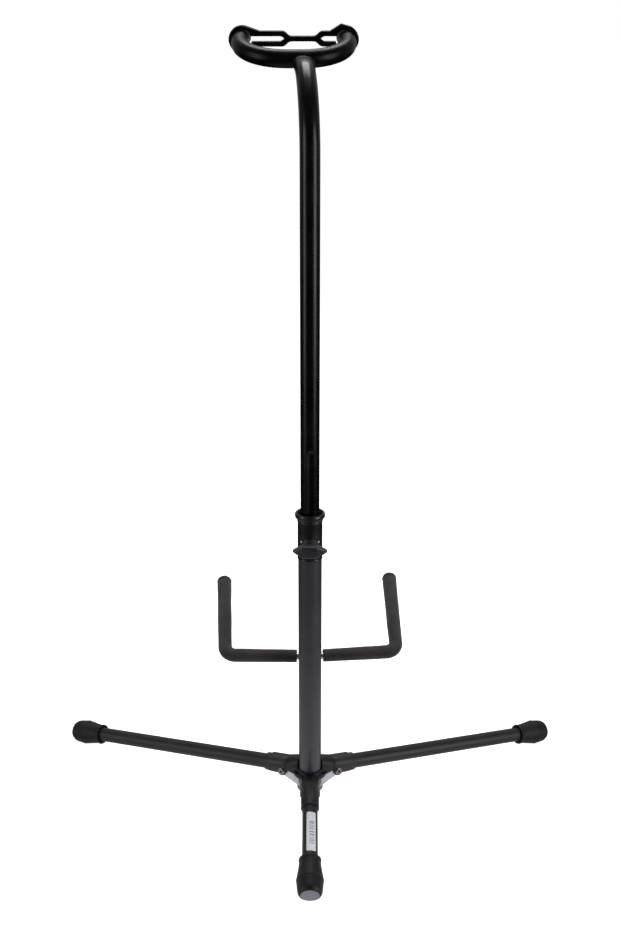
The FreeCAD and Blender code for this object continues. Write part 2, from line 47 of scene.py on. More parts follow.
Z = Vector((0, 0, 1))
scene = bpy.context.scene


# ---------------------------------------------------------------- small helpers
def turn(axis, degrees):
    return Matrix.Rotation(math.radians(degrees), 4, axis)


def fillet(points, radius, closed=False, steps=4):
    """The polyline with each corner rounded. radius is one number, or one per point."""
    points = [Vector(p) for p in points]
    radii = radius if isinstance(radius, (list, tuple)) else [radius] * len(points)
    rounded = []
    for i, (corner, r) in enumerate(zip(points, radii)):
        if r <= 0 or (not closed and i in (0, len(points) - 1)):
            rounded.append(corner)
            continue
        before = points[i - 1] - corner
        after = points[(i + 1) % len(points)] - corner
        angle = before.angle(after)
        setback = min(r / math.tan(angle / 2), 0.48 * before.length, 0.48 * after.length)
        start = corner + before.normalized() * setback
        end = corner + after.normalized() * setback
        for k in range(steps + 1):
            t = k / steps
            rounded.append(start * (1 - t) ** 2 + corner * 2 * t * (1 - t) + end * t * t)
    return rounded


def skin(rings, cyclic=False, poles=(None, None)):
    """Vertices and faces through rings with equal numbers of points.

    cyclic joins the last ring to the first; poles are points that close the two ends.
    """
    count = len(rings[0])
    verts = [p for ring in rings for p in ring]
    faces = []
    for i in range(len(rings) if cyclic else len(rings) - 1):
        a = i * count
        b = (i + 1) % len(rings) * count
        for j in range(count):
            k = (j + 1) % count
            faces.append((a + j, a + k, b + k, b + j))
    for pole, start, flip in ((poles[0], 0, True), (poles[1], (len(rings) - 1) * count, False)):
        if pole is not None:
            verts.append(pole)
            for j in range(count):
                edge = (start + j, start + (j + 1) % count)
                faces.append((*(edge[::-1] if flip else edge), len(verts) - 1))
    return verts, faces


def lathe(profile, segments):
    """A solid of revolution about local Z from (radius, height) points.

    A profile's end on the axis becomes a pole. One with neither end on the axis is a loop.
    """
    on_axis = [profile[0][0] < ON_AXIS, profile[-1][0] < ON_AXIS]
    inner = profile[1:] if on_axis[0] else profile
    inner = inner[:-1] if on_axis[1] else inner
    angles = [2 * math.pi * j / segments for j in range(segments)]
    rings = [[Vector((r * math.cos(a), r * math.sin(a), h)) for a in angles] for r, h in inner]
    poles = [Vector((0, 0, profile[k][1])) if on_axis[k] else None for k in (0, -1)]
    return skin(rings, cyclic=not any(on_axis), poles=poles)


def bent_path(points, radii, step):
    """Points along straight runs joined by tangent arcs, about step apart."""
    path = [points[0]]
    for before, corner, after, radius in zip(points, points[1:], points[2:], radii):
        inward = (before - corner).normalized()
        outward = (after - corner).normalized()
        half = inward.angle(outward) / 2
        setback = radius / math.tan(half)
        centre = corner + (inward + outward).normalized() * (radius / math.sin(half))
        arc_start = corner + inward * setback
        spoke = arc_start - centre
        axis = inward.cross(outward).normalized()
        sweep_angle = math.pi - 2 * half
        path += run(path[-1], arc_start, step)
        count = max(6, math.ceil(sweep_angle * radius / step))
        for k in range(1, count + 1):
            path.append(centre + Matrix.Rotation(-sweep_angle * k / count, 3, axis) @ spoke)
    return path + run(path[-1], points[-1], step)


def run(start, end, step):
    """Points from start to end at most step apart, without start itself."""
    count = max(1, math.ceil((end - start).length / step))
    return [start.lerp(end, k / count) for k in range(1, count + 1)]


def tangents(path):
    """The path's direction at each of its points."""
    ends = [path[0]] + path + [path[-1]]
    return [(c - a).normalized() for a, c in zip(ends, ends[2:])]


def lengths(path):
    """The distance along the path to each of its points."""
    total = [0.0]
    for a, b in zip(path, path[1:]):
        total.append(total[-1] + (b - a).length)
    return total


def ring(centre, tangent, normal, radius, segments):
    """A ring round a path. normal is the direction of angle 90 degrees.

    radius is a number or a function of the angle.
    """
    side = normal.cross(tangent).normalized()
    up = tangent.cross(side)
    points = []
    for j in range(segments):
        a = 2 * math.pi * j / segments
        r = radius(a) if callable(radius) else radius
        points.append(centre + side * (r * math.cos(a)) + up * (r * math.sin(a)))
    return points


def make_object(name, verts, faces, matrix=None):
    """A mesh object from vertices in millimetres, placed by matrix, its faces turned outwards."""
    mesh = bpy.data.meshes.new(name)
    placed = [(matrix @ v if matrix else v) * MM for v in verts]
    mesh.from_pydata(placed, [], faces)
    bm = bmesh.new()
    bm.from_mesh(mesh)
    bmesh.ops.recalc_face_normals(bm, faces=bm.faces)
    bm.to_mesh(mesh)
    bm.free()
    obj = bpy.data.objects.new(name, mesh)
    scene.collection.objects.link(obj)
    return obj


def applied(obj):
    """Bakes an object's modifiers into its mesh."""
    evaluated = obj.evaluated_get(bpy.context.evaluated_depsgraph_get())
    mesh = bpy.data.meshes.new_from_object(evaluated)
    obj.modifiers.clear()
    obj.data = mesh
    return obj


def boolean(obj, tool, operation):
    """Joins or cuts obj with tool, deletes the tool, and removes the cut's slivers."""
    modifier = obj.modifiers.new("boolean", "BOOLEAN")
    modifier.operation = operation
    modifier.solver = "EXACT"
    modifier.object = tool
    applied(obj)
    bpy.data.objects.remove(tool)
    bm = bmesh.new()
    bm.from_mesh(obj.data)
    bmesh.ops.dissolve_degenerate(bm, dist=SLIVER, edges=bm.edges)
    bm.to_mesh(obj.data)
    bm.free()


def bevelled(obj, width, segments, degrees=32):
    """Rounds the edges whose faces meet at more than an angle."""
    modifier = obj.modifiers.new("bevel", "BEVEL")
    modifier.limit_method = "ANGLE"
    modifier.angle_limit = math.radians(degrees)
    modifier.width = width * MM
    modifier.segments = segments
    modifier.use_clamp_overlap = True
    return applied(obj)


def piece(obj, body, finishes, nodes=(), sharp=38):
    """Gives a piece its shading, materials, body, material slot and the nodes it stands for."""
    obj.data.shade_smooth()
    obj.data.set_sharp_from_angle(angle=math.radians(sharp))
    obj.data.materials.clear()
    for finish in finishes if isinstance(finishes, (list, tuple)) else [finishes]:
        obj.data.materials.append(finish)
    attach(obj, body)
    if nodes:
        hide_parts(*nodes)


def eased_copy(node, name, width, segments):
    """A copy of a CAD node's mesh with its sharp edges rounded."""
    bm = bmesh.new()
    bm.from_mesh(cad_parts[node].data)
    bmesh.ops.remove_doubles(bm, verts=bm.verts, dist=SLIVER)
    bmesh.ops.dissolve_limit(bm, angle_limit=math.radians(1), verts=bm.verts, edges=bm.edges)
    mesh = bpy.data.meshes.new(name)
    bm.to_mesh(mesh)
    bm.free()
    obj = bpy.data.objects.new(name, mesh)
    scene.collection.objects.link(obj)
    return bevelled(obj, width, segments)


# ------------------------------------------------------------------- materials
def map_range(tree, value, low, high, start, end):
    """Takes low..high to start..end, and holds the result between those two."""
    node = tree.nodes.new("ShaderNodeMapRange")
    ends = (("From Min", low), ("From Max", high), ("To Min", start), ("To Max", end))
    for socket, number in ends:
        node.inputs[socket].default_value = number
    tree.links.new(value, node.inputs["Value"])
    return node.outputs["Result"]


class Finish:
    """Builds one procedural material on a Principled shader, from object coordinates in metres."""

    def __init__(self, name, roughness, **constants):
        self.material = bpy.data.materials.new(name)
        self.material.use_nodes = True
        self.nodes = self.material.node_tree.nodes
        self.links = self.material.node_tree.links
        self.shader = self.nodes["Principled BSDF"]
        self.place = self.nodes.new("ShaderNodeTexCoord").outputs["Object"]
        self.shader.inputs["Roughness"].default_value = roughness
        for socket, value in constants.items():
            self.shader.inputs[socket.replace("_", " ")].default_value = value
        self.normal = None

    def stretched(self, stretch):
        mapping = self.nodes.new("ShaderNodeMapping")
        mapping.inputs["Scale"].default_value = stretch
        self.links.new(self.place, mapping.inputs["Vector"])
        return mapping.outputs["Vector"]

    def noise(self, scale, detail, stretch=None, rough=0.55):
        node = self.nodes.new("ShaderNodeTexNoise")
        node.inputs["Scale"].default_value = scale
        node.inputs["Detail"].default_value = detail
        node.inputs["Roughness"].default_value = rough
        self.links.new(self.stretched(stretch) if stretch else self.place, node.inputs["Vector"])
        return node.outputs["Fac"]

    def cells(self, scale):
        node = self.nodes.new("ShaderNodeTexVoronoi")
        node.inputs["Scale"].default_value = scale
        self.links.new(self.place, node.inputs["Vector"])
        return node.outputs["Distance"]

    def ramp(self, value, low, high, start=0.0, end=1.0):
        return map_range(self.material.node_tree, value, low, high, start, end)

    def math(self, operation, first, second):
        node = self.nodes.new("ShaderNodeMath")
        node.operation = operation
        for socket, value in zip(node.inputs, (first, second)):
            if isinstance(value, (int, float)):
                socket.default_value = value
            else:
                self.links.new(value, socket)
        return node.outputs["Value"]

    def mix(self, factor, first, second):
        node = self.nodes.new("ShaderNodeMix")
        node.data_type = "RGBA"
        self.links.new(factor, node.inputs["Factor"])
        for socket, value in ((node.inputs[6], first), (node.inputs[7], second)):
            if isinstance(value, tuple):
                socket.default_value = (*value, 1)
            else:
                self.links.new(value, socket)
        return node.outputs[2]

    def colour(self, value):
        self.links.new(value, self.shader.inputs["Base Color"])

    def roughness(self, value):
        self.links.new(value, self.shader.inputs["Roughness"])

    def bump(self, height, distance, strength=1.0):
        """Adds a bump of a height in millimetres to those already there."""
        node = self.nodes.new("ShaderNodeBump")
        node.inputs["Distance"].default_value = distance * MM
        node.inputs["Strength"].default_value = strength
        self.links.new(height, node.inputs["Height"])
        if self.normal:
            self.links.new(self.normal, node.inputs["Normal"])
        self.normal = node.outputs["Normal"]
        self.links.new(self.normal, self.shader.inputs["Normal"])

    def edges(self, low, high):
        """1 on convex edges and 0 elsewhere, from the mesh's pointiness."""
        point = self.nodes.new("ShaderNodeNewGeometry").outputs["Pointiness"]
        return self.ramp(point, low, high)


def paint(name, dark, light, rough_low, rough_high, peel, worn, shine):
    """Baked paint: orange peel, handling smudges and faint rubbed lines along the tube."""
    f = Finish(name, rough_low, Specular_IOR_Level=shine)
    smudge = f.noise(34, 4, rough=0.62)
    f.colour(f.mix(f.ramp(smudge, 0.35, 0.7), dark, light))
    lines = f.ramp(f.noise(60, 2, stretch=(14, 14, 0.5)), 0.60, 0.72, 0, worn)
    rough = f.ramp(smudge, 0.3, 0.72, rough_low, rough_high)
    f.roughness(f.math("ADD", rough, lines))
    f.bump(f.noise(620, 2), peel)
    f.bump(f.noise(2600, 2), peel * 0.25)
    return f.material


def plating(name, shade, metallic):
    """Zinc plate: bright bluish grey with a fine mottle, drawn lines and dull spots."""
    f = Finish(name, 0.3, Metallic=metallic)
    mottle = f.cells(900)
    cloud = f.noise(70, 5, rough=0.65)
    bright = f.mix(f.ramp(mottle, 0.1, 0.7), shade, tuple(0.8 * c for c in shade))
    f.colour(f.mix(f.ramp(cloud, 0.52, 0.78), bright, tuple(0.55 * c for c in shade)))
    lines = f.noise(500, 2, stretch=(0.6, 6, 6))
    rough = f.ramp(cloud, 0.3, 0.75, 0.22, 0.45)
    f.roughness(f.math("ADD", rough, f.ramp(lines, 0.4, 0.7, 0, 0.1)))
    f.bump(lines, 0.012)
    f.bump(mottle, 0.01)
    return f.material


def moulding(name, dark, light, rough_low, rough_high):
    """Injection-moulded plastic: spark-eroded grain, flow marks, and polished edges whose lighter
    colour is a painted highlight.
    """
    f = Finish(name, rough_low, Specular_IOR_Level=0.5)
    flow = f.noise(48, 3, stretch=(1, 1, 2.4))
    base = f.mix(f.ramp(flow, 0.35, 0.68), dark, light)
    # convex edges are painted lighter in colour, a painted highlight; their lower roughness is
    # real polish
    edge = f.edges(0.52, 0.6)
    f.colour(f.mix(edge, base, tuple(c * 1.9 for c in light)))
    rough = f.ramp(flow, 0.3, 0.7, rough_low, rough_high)
    f.roughness(f.math("SUBTRACT", rough, f.math("MULTIPLY", edge, 0.1)))
    f.bump(f.noise(1900, 3), 0.035)
    f.bump(f.cells(1300), 0.02)
    return f.material


def rubber(name, dark, light, rough, dust, sheen, shine=0.35):
    """Soft rubber: a fine matte grain, dusty specks and patches of uneven gloss."""
    f = Finish(name, rough, Specular_IOR_Level=shine, Sheen_Weight=sheen, Sheen_Roughness=0.5)
    dust_colour = (0.16, 0.155, 0.15)
    cloud = f.noise(55, 5, rough=0.65)
    grain = f.noise(1500, 3)
    base = f.mix(f.ramp(cloud, 0.35, 0.72), dark, light)
    speck = f.math("MULTIPLY", f.ramp(f.noise(900, 4), 0.58, 0.7), f.ramp(cloud, 0.45, 0.7))
    f.colour(f.mix(f.math("MULTIPLY", speck, dust), base, dust_colour))
    f.roughness(f.ramp(cloud, 0.3, 0.7, rough - 0.08, rough + 0.12))
    f.bump(grain, 0.05)
    f.bump(cloud, 0.12)
    return f.material


def foam(name):
    """Closed-cell foam: fine open pores, their darker colour a painted shade, in a brownish black
    skin, with dents and paler patches.
    """
    f = Finish(name, 0.88, Specular_IOR_Level=0.28, Sheen_Weight=0.22, Sheen_Roughness=0.6)
    cloud = f.noise(42, 5, rough=0.62)
    pores = f.cells(1150)
    fine = f.noise(2300, 3)
    dark, light, pore_shade = (0.025, 0.023, 0.0222), (0.047, 0.042, 0.0395), (0.008, 0.0075, 0.007)
    base = f.mix(f.ramp(cloud, 0.34, 0.7), dark, light)
    # the pores are painted darker, as painted shade inside them; their bump below is real relief
    f.colour(f.mix(f.ramp(pores, 0.32, 0.1), base, pore_shade))
    f.roughness(f.ramp(cloud, 0.3, 0.7, 0.8, 0.96))
    f.bump(pores, 0.16)
    f.bump(fine, 0.05)
    f.bump(f.noise(170, 4), 0.3, 0.6)
    return f.material


def nylon(name):
    """Off-white nylon, slightly cloudy."""
    f = Finish(name, 0.4, Subsurface_Weight=0.1)
    cloud = f.noise(400, 3)
    f.colour(f.mix(cloud, (0.78, 0.77, 0.72), (0.84, 0.83, 0.79)))
    f.roughness(f.ramp(cloud, 0.3, 0.7, 0.35, 0.5))
    f.bump(f.noise(2000, 2), 0.02)
    return f.material


# paint: name, dark and light colour, roughness low and high, orange peel, rubbed lines, shine
gloss_paint = paint("gloss_black_paint", (0.002, 0.002, 0.0024), (0.0045, 0.0044, 0.005),
                    0.24, 0.34, 0.02, 0.06, 0.3)
satin_paint = paint("satin_black_paint", (0.036, 0.033, 0.043), (0.050, 0.046, 0.058),
                    0.34, 0.42, 0.05, 0.06, 0.8)
hub_paint = paint("hub_black_paint", (0.006, 0.0058, 0.0062), (0.011, 0.0105, 0.0115),
                  0.40, 0.52, 0.05, 0.06, 0.4)
leg_paint = paint("leg_black_paint", (0.013, 0.0125, 0.0135), (0.022, 0.021, 0.0225),
                  0.42, 0.54, 0.05, 0.06, 0.4)
zinc = plating("zinc_plate", (0.70, 0.73, 0.79), 0.8)
rivet_metal = plating("rivet_plate", (0.30, 0.27, 0.24), 1.0)
plastic = moulding("moulded_black", (0.010, 0.0098, 0.0115), (0.018, 0.0175, 0.020), 0.30, 0.40)
knob_plastic = moulding("moulded_knob", (0.024, 0.0232, 0.028), (0.036, 0.035, 0.041), 0.36, 0.46)
socket_plastic = moulding("moulded_socket", (0.009, 0.0086, 0.009), (0.016, 0.0154, 0.016),
                          0.46, 0.58)
# rubber: name, dark and light colour, roughness, dust, sheen, shine
yoke_rubber = rubber("yoke_rubber", (0.0022, 0.0021, 0.0021), (0.0048, 0.0046, 0.0046),
                     0.34, 0.06, 0.0, 0.16)
foot_rubber = rubber("foot_rubber", (0.0035, 0.0034, 0.0034), (0.0075, 0.0074, 0.0075),
                     0.55, 0.3, 0.02)
foot_face = rubber("foot_end_rubber", (0.22, 0.235, 0.26), (0.31, 0.325, 0.35), 0.66, 0.3, 0.05)
black_foam = foam("sleeve_foam")
white_nylon = nylon("pad_nylon")


# --------------------------------------------------- frames of the moving parts
mast_yaw = 5.5            # degrees; the mast, yoke and cradle each stand a little turned
yoke_yaw = 1.4
yoke_offset = -13.6
cradle_yaw = 2.7
cradle_place = Vector((1.5, 22, 191.4))
mast_frame = turn("Z", mast_yaw)
yoke_frame = turn("Z", yoke_yaw) @ Matrix.Translation(X * yoke_offset)
cradle_frame = Matrix.Translation(cradle_place) @ turn("Z", cradle_yaw)

hub_z = 59.0              # where the legs' axes meet the column's
foot_end_height = 10.2    # of the middle of a foot's end face


def leg_frame(azimuth, reach):
    """Local X runs down the leg from the column's axis, and local Z is the leg's upper side."""
    slope = math.degrees(math.atan2(hub_z - foot_end_height, reach))
    return Matrix.Translation(Z * hub_z) @ turn("Z", azimuth) @ turn("Y", slope)


def leg_length(reach):
    return math.hypot(reach, hub_z - foot_end_height)


# azimuth in degrees, and reach from the column's axis to the foot's end
legs = {"left": (153.0, 340.5), "right": (27.0, 340.5), "rear": (270.0, 154.2)}

# ------------------------------------------------------------------------ mast
mast_radius = 10.0
mast_wall = 1.2
mast_bottom = 165.0
bend_start = 732.6
bend_radius = 92.0
bend = math.radians(68)
bar_centre = Vector((0, 75.3, 825.6))     # the middle of the yoke's cross bar
yoke_tilt = math.radians(21.6)
forward = Vector((0, math.cos(yoke_tilt), math.sin(yoke_tilt)))
groove_radius = 6.5
groove_centre = 13.8
groove_top = 446.0
groove_bottom = 205.0
groove_half_angle = 0.8   # radians; the groove lies within this of the mast's back
groove_zone = (430.0, 448.0)   # heights round the groove's top end that get fine rings
flat_length = 34.0        # the tube's end is pressed flatter over this length
flat_blend = 26.0         # and reaches its full flatness over this part of it
flat_low = 0.42           # how much lower the flattened end is
flat_wide = 0.16          # and how much wider


def groove_depth(angle_from_back, height):
    """How far the pressed groove lowers the mast's surface at an angle from its back."""
    end = max(groove_bottom + groove_radius - height, height - groove_top + groove_radius, 0)
    if end >= groove_radius or abs(angle_from_back) > groove_half_angle:
        return 0.0
    radius = math.sqrt(groove_radius ** 2 - end ** 2)
    offset = groove_centre * math.sin(angle_from_back)
    if abs(offset) >= radius:
        return 0.0
    floor = groove_centre * math.cos(angle_from_back) - math.sqrt(radius ** 2 - offset ** 2)
    return max(0.0, mast_radius - floor)


def mast_skin():
    """A bent tube with a pressed groove, open below and pressed flatter under the yoke."""
    segments = 96
    corner = Vector((0, 0, bend_start + bend_radius * math.tan(bend / 2)))
    low = bent_path([Z * mast_bottom, Z * groove_zone[0]], [], 12)
    path = low + run(low[-1], Z * groove_zone[1], 0.75)
    path += bent_path([path[-1], corner, bar_centre], [bend_radius], 3)[1:]
    along = lengths(path)
    rings = []
    for point, tangent, s in zip(path, tangents(path), along):
        t = min(1.0, max(0.0, (s - along[-1] + flat_length) / flat_blend))
        t = t * t * (3 - 2 * t)
        high = mast_radius * (1 - flat_low * t)
        wide = mast_radius * (1 + flat_wide * t)

        def radius(a):
            depth = groove_depth(math.atan2(math.sin(a), math.cos(a)), point.z)
            flat = high * wide / math.hypot(wide * math.cos(a), high * math.sin(a))
            return flat - depth

        rings.append(ring(point, tangent, X, radius, segments))
    inner = []
    for point, tangent in zip(path[:3], tangents(path)[:3]):
        inner.append(ring(point, tangent, X, mast_radius - mast_wall, segments))
    verts, faces = skin(inner[::-1] + rings, poles=(path[2], path[-1]))
    return make_object("mast_bent_tube", verts, faces, mast_frame)


piece(mast_skin(), "mast", gloss_paint, ["mast_tube"])

# ------------------------------------------------------------------------ yoke
half_width = 63.3         # from the middle of the cross bar to an arm's corner
yoke_reach = 68.5
yoke_corner = 47.4        # radius of the bend between the bar and an arm
cap_length = 4.0
cover_radius = 8.9
cover_swell = 0.12        # how unevenly the rubber swells
cover_rim = 0.9           # rounding of the cover's ends
rod_radius = 5.0
rod_gap = 0.05
toe_in = math.radians(8.9)


def arm_direction(side):
    return forward * math.cos(toe_in) - X * (side * math.sin(toe_in))


def yoke_corner_at(side):
    return bar_centre + X * (side * half_width)


def arm_end(side):
    """Where the rubber cover ends on an arm and its cap begins."""
    return yoke_corner_at(side) + arm_direction(side) * (yoke_reach - cap_length)


def sleeve(name, path, normal, outer, inner, edge, segments, matrix):
    """A thick tube along a path, with its two rims rounded by edge.

    outer is a function of the distance along the path and of the angle; inner is a radius.
    """
    along = lengths(path)
    total = along[-1]
    rings = []
    for point, tangent, s in zip(path, tangents(path), along):
        inset = 0.0
        near = min(s, total - s)
        if near < edge:
            inset = edge - math.sqrt(max(0.0, edge ** 2 - (edge - near) ** 2))
        rings.append(ring(point, tangent, normal, lambda a: outer(s, a) - inset, segments))
    last = len(path) - 1
    directions = tangents(path)
    inside = []
    for i in [last, *range(last - 6, 3, -6), 0]:    # back along the bore, with fewer rings
        inside.append(ring(path[i], directions[i], normal, inner, segments))
    verts, faces = skin(rings + inside, cyclic=True)
    return make_object(name, verts, faces, matrix)


def edged(path, edge):
    """The path with closer points at both ends, for rounded rims."""
    steps = [0.12, 0.35, 0.65, 1.0]
    first = (path[1] - path[0]).normalized()
    last = (path[-2] - path[-1]).normalized()
    head = [path[0] + first * (edge * k) for k in steps]
    tail = [path[-1] + last * (edge * k) for k in reversed(steps)]
    return [path[0]] + head + path[1:-1] + tail + [path[-1]]


def make_yoke():
    points = [arm_end(-1), yoke_corner_at(-1), yoke_corner_at(1), arm_end(1)]
    path = edged(bent_path(points, [yoke_corner, yoke_corner], 3), cover_rim)
    normal = X.cross(forward)

    def outer(s, a):
        swell = noise.noise(Vector((s * 0.02, math.cos(a) * 0.6, math.sin(a) * 0.6)))
        return cover_radius + cover_swell * swell

    bore = rod_radius + rod_gap
    cover = sleeve("yoke_rubber_cover", path, normal, outer, bore, cover_rim, 64, yoke_frame)
    piece(cover, "mast", yoke_rubber, ["yoke_cover"])
    rim = cover_radius - 0.05
    profile = [(0, 0.02), (rim - 0.6, 0.02), (rim, 0.5), (rim + 0.05, 2.2)]
    profile += [(rim - 0.7, 4.0), (rim - 2.6, 4.9), (3.0, 5.1), (0, 5.1)]
    profile = fillet(profile, [0, 0.3, 0.5, 2.5, 2.5, 2.5, 2.0, 0], steps=5)
    for side, hand in ((-1, "left"), (1, "right")):
        verts, faces = lathe([tuple(p) for p in profile], 64)
        stand = arm_direction(side).to_track_quat("Z", "Y").to_matrix().to_4x4()
        place = yoke_frame @ Matrix.Translation(arm_end(side)) @ stand
        cap = make_object("yoke_end_cap_" + hand, verts, faces, place)
        piece(cap, "mast", yoke_rubber, ["yoke_cap_" + hand])


make_yoke()

# ----------------------------------------------------------------------- strap
strap_reach = 60.0        # from the cross bar forward to the strap
strap_rail = 5.1          # width of a rail and of the middle bar
strap_depth = 4.0
strap_gap = 0.06
slot_half = 2.65
ring_hole = 9.9
ring_wall = 4.1
ring_outer = ring_hole + ring_wall
loop_drop = (ring_hole - cover_radius - strap_gap) * math.sqrt(0.5)   # down and inwards
loop_centre = half_width - strap_reach * math.tan(toe_in) - loop_drop
left_slot_end = -10.2
right_slot_end = 28.2
slot_point = 3.0          # length of a slot's pointed end
slot_flat = 0.6           # and half the width of the flat on its point
rail_end = 35.0           # the rails turn to their loops here
neck_start = 0.4          # beyond a slot's end the rails close in to the middle bar
neck_end = 5.6


def arc(side, radius, start, end, count):
    """Points of one loop's circle, in the strap's own plane."""
    points = []
    for k in range(count + 1):
        a = math.radians(start + (end - start) * k / count)
        across = side * loop_centre + radius * math.cos(a)
        points.append(Vector((across, radius * math.sin(a) - loop_drop)))
    return points


def strap_outline():
    """The strap's outer edge and the edges of its two openings, in its own plane."""
    rail = slot_half + strap_rail
    half_bar = strap_rail / 2
    left_rail = left_slot_end + neck_start
    left_bar = left_slot_end + neck_end
    right_bar = right_slot_end - neck_end
    right_rail = right_slot_end - neck_start
    meet = 73                 # angle at which a rail meets its loop
    tab_meet = 68             # and the slanted tab on the right loop's upper side
    left = arc(-1, ring_outer, meet, 360 - meet, 56)
    right = arc(1, ring_outer, meet - 180, tab_meet, 44)
    lower = [(-rail_end, -rail), (left_rail, -rail), (left_bar, -half_bar)]
    lower += [(right_bar, -half_bar), (right_rail, -rail), (rail_end, -rail)]
    upper = [(48.9, 15.0), (37.6, rail), (right_rail, rail), (right_bar, half_bar)]
    upper += [(left_bar, half_bar), (left_rail, rail), (-rail_end, rail)]
    outline = left + fillet([left[-1]] + lower + [right[0]], [0, 3] + [7] * 4 + [3, 0])[1:-1]
    upper_radii = [0, 1.2, 4] + [7] * 4 + [3, 0]
    outline += right + fillet([right[-1]] + upper + [left[0]], upper_radii)[1:-1]
    openings = []
    for side, slot_end in ((-1, left_slot_end), (1, right_slot_end)):
        high = math.degrees(math.asin((slot_half + loop_drop) / ring_hole))
        low = math.degrees(math.asin((slot_half - loop_drop) / ring_hole))
        if side < 0:
            loop = arc(-1, ring_hole, high, 360 - low, 52)
        else:
            loop = arc(1, ring_hole, 180 + low, 540 - high, 52)
        ends = [loop[-1], loop[0]]
        wide = slot_end + side * slot_point
        slot = [(wide, -slot_half), (slot_end, -slot_flat)]
        slot += [(slot_end, slot_flat), (wide, slot_half)]
        slot = slot if side < 0 else slot[::-1]
        openings.append(loop + fillet([ends[0]] + slot + [ends[1]], [0, 4, 2, 2, 4, 0])[1:-1])
    return outline, openings


def make_strap():
    """The strap: a filled curve gives its outline round edges, and it is set between the arms."""
    outline, openings = strap_outline()
    round_edge = 0.75
    curve = bpy.data.curves.new("strap", "CURVE")
    curve.dimensions = "2D"
    curve.fill_mode = "BOTH"
    curve.extrude = (strap_depth / 2 - round_edge) * MM
    curve.bevel_depth = round_edge * MM
    curve.bevel_resolution = 3
    curve.offset = -round_edge * MM
    for loop in [outline] + openings:
        spline = curve.splines.new("POLY")
        spline.points.add(len(loop) - 1)
        for point, target in zip(spline.points, loop):
            point.co = (target[0] * MM, target[1] * MM, 0, 1)
        spline.use_cyclic_u = True
    obj = bpy.data.objects.new("strap_curve", curve)
    scene.collection.objects.link(obj)
    evaluated = obj.evaluated_get(bpy.context.evaluated_depsgraph_get())
    mesh = bpy.data.meshes.new_from_object(evaluated)
    bpy.data.objects.remove(obj)
    across = X.cross(forward)
    verts = []
    for vertex in mesh.vertices:
        s, height, depth = vertex.co / MM
        side = 1 if s > 0 else -1
        lean = min(1.0, max(0.0, (abs(s) - 32) / 8))    # the loops follow the arms' toe-in
        s -= side * depth * math.tan(toe_in) * lean
        height += 0.25 * noise.noise(Vector((s * 0.03, 7.3, 0)))
        verts.append(bar_centre + forward * (strap_reach + depth) + X * s + across * height)
    faces = [tuple(p.vertices) for p in mesh.polygons]
    strap = make_object("strap_moulding", verts, faces, yoke_frame)
    bm = bmesh.new()
    bm.from_mesh(strap.data)
    bmesh.ops.remove_doubles(bm, verts=bm.verts, dist=WELD)
    bmesh.ops.recalc_face_normals(bm, faces=bm.faces)
    bm.to_mesh(strap.data)
    bm.free()
    piece(strap, "strap", yoke_rubber, ["safety_strap"])


make_strap()

# ------------------------------------------------------------ collar and clamp
collar_radius = 13.25
pin_offset = 8.8
clamp_z = 344.0
screw_frame = Matrix.Translation(Z * clamp_z) @ turn("X", 90)   # local Z points along -Y


def hex_prism(name, flats, start, end):
    corner = flats / 2 / math.cos(math.radians(30))
    angles = [math.radians(60 * k) for k in range(6)]
    outline = [Vector((corner * math.cos(a), corner * math.sin(a), 0)) for a in angles]
    rings = [[point + Z * z for point in outline] for z in (start, end)]
    verts, faces = skin(rings, poles=(Z * start, Z * end))
    return make_object(name, verts, faces, screw_frame)


def cutter(name, radius, start, end, segments, matrix=None):
    """A plain cylinder on local Z, to cut with."""
    verts, faces = lathe([(0, start), (radius, start), (radius, end), (0, end)], segments)
    return make_object(name, verts, faces, matrix)


def make_collar():
    """Sleeve, inner bush, cupped flange and screw boss, moulded in one."""
    profile = [(12.78, 321.0), (13.15, 321.0), (13.5, 321.7), (13.5, 322.6), (13.25, 323.3)]
    profile += [(13.25, 363.9), (13.65, 364.6), (13.65, 365.5), (13.1, 366.3)]
    profile += [(14.2, 367.2), (15.8, 369.0), (16.2, 371.2), (15.8, 373.2), (14.8, 374.1)]
    profile += [(13.5, 373.6), (12.6, 371.4), (12.1, 369.2), (11.6, 368.4), (10.5, 368.4)]
    profile += [(10.1, 368.0), (10.1, 330.0), (11.4, 330.0), (11.4, 366.1), (12.78, 366.1)]
    profile = fillet(profile, 0.55, closed=True, steps=3)
    verts, faces = lathe([tuple(p) for p in profile], 96)
    collar = make_object("column_collar_moulding", verts, faces)
    boss_profile = [(0, 10.5), (7.7, 10.5), (7.4, 13.0), (7.1, 15.2), (7.0, 17.5), (6.9, 25.6)]
    boss_profile += [(6.1, 26.5), (0, 26.5)]
    boss_profile = fillet(boss_profile, [0, 0, 1.5, 2.0, 2.0, 1.0, 0.8, 0], steps=4)
    verts, faces = lathe([tuple(p) for p in boss_profile], 64)
    boss = make_object("boss", verts, faces, screw_frame)
    boolean(boss, cutter("core", 12.9, 300, 384, 96), "DIFFERENCE")
    boolean(collar, boss, "UNION")
    boolean(collar, hex_prism("pocket", 10.1, 21.1, 30), "DIFFERENCE")
    boolean(collar, cutter("bore", 3.4, 5, 24, 32, screw_frame), "DIFFERENCE")
    piece(collar, "base", plastic, ["column_collar"])


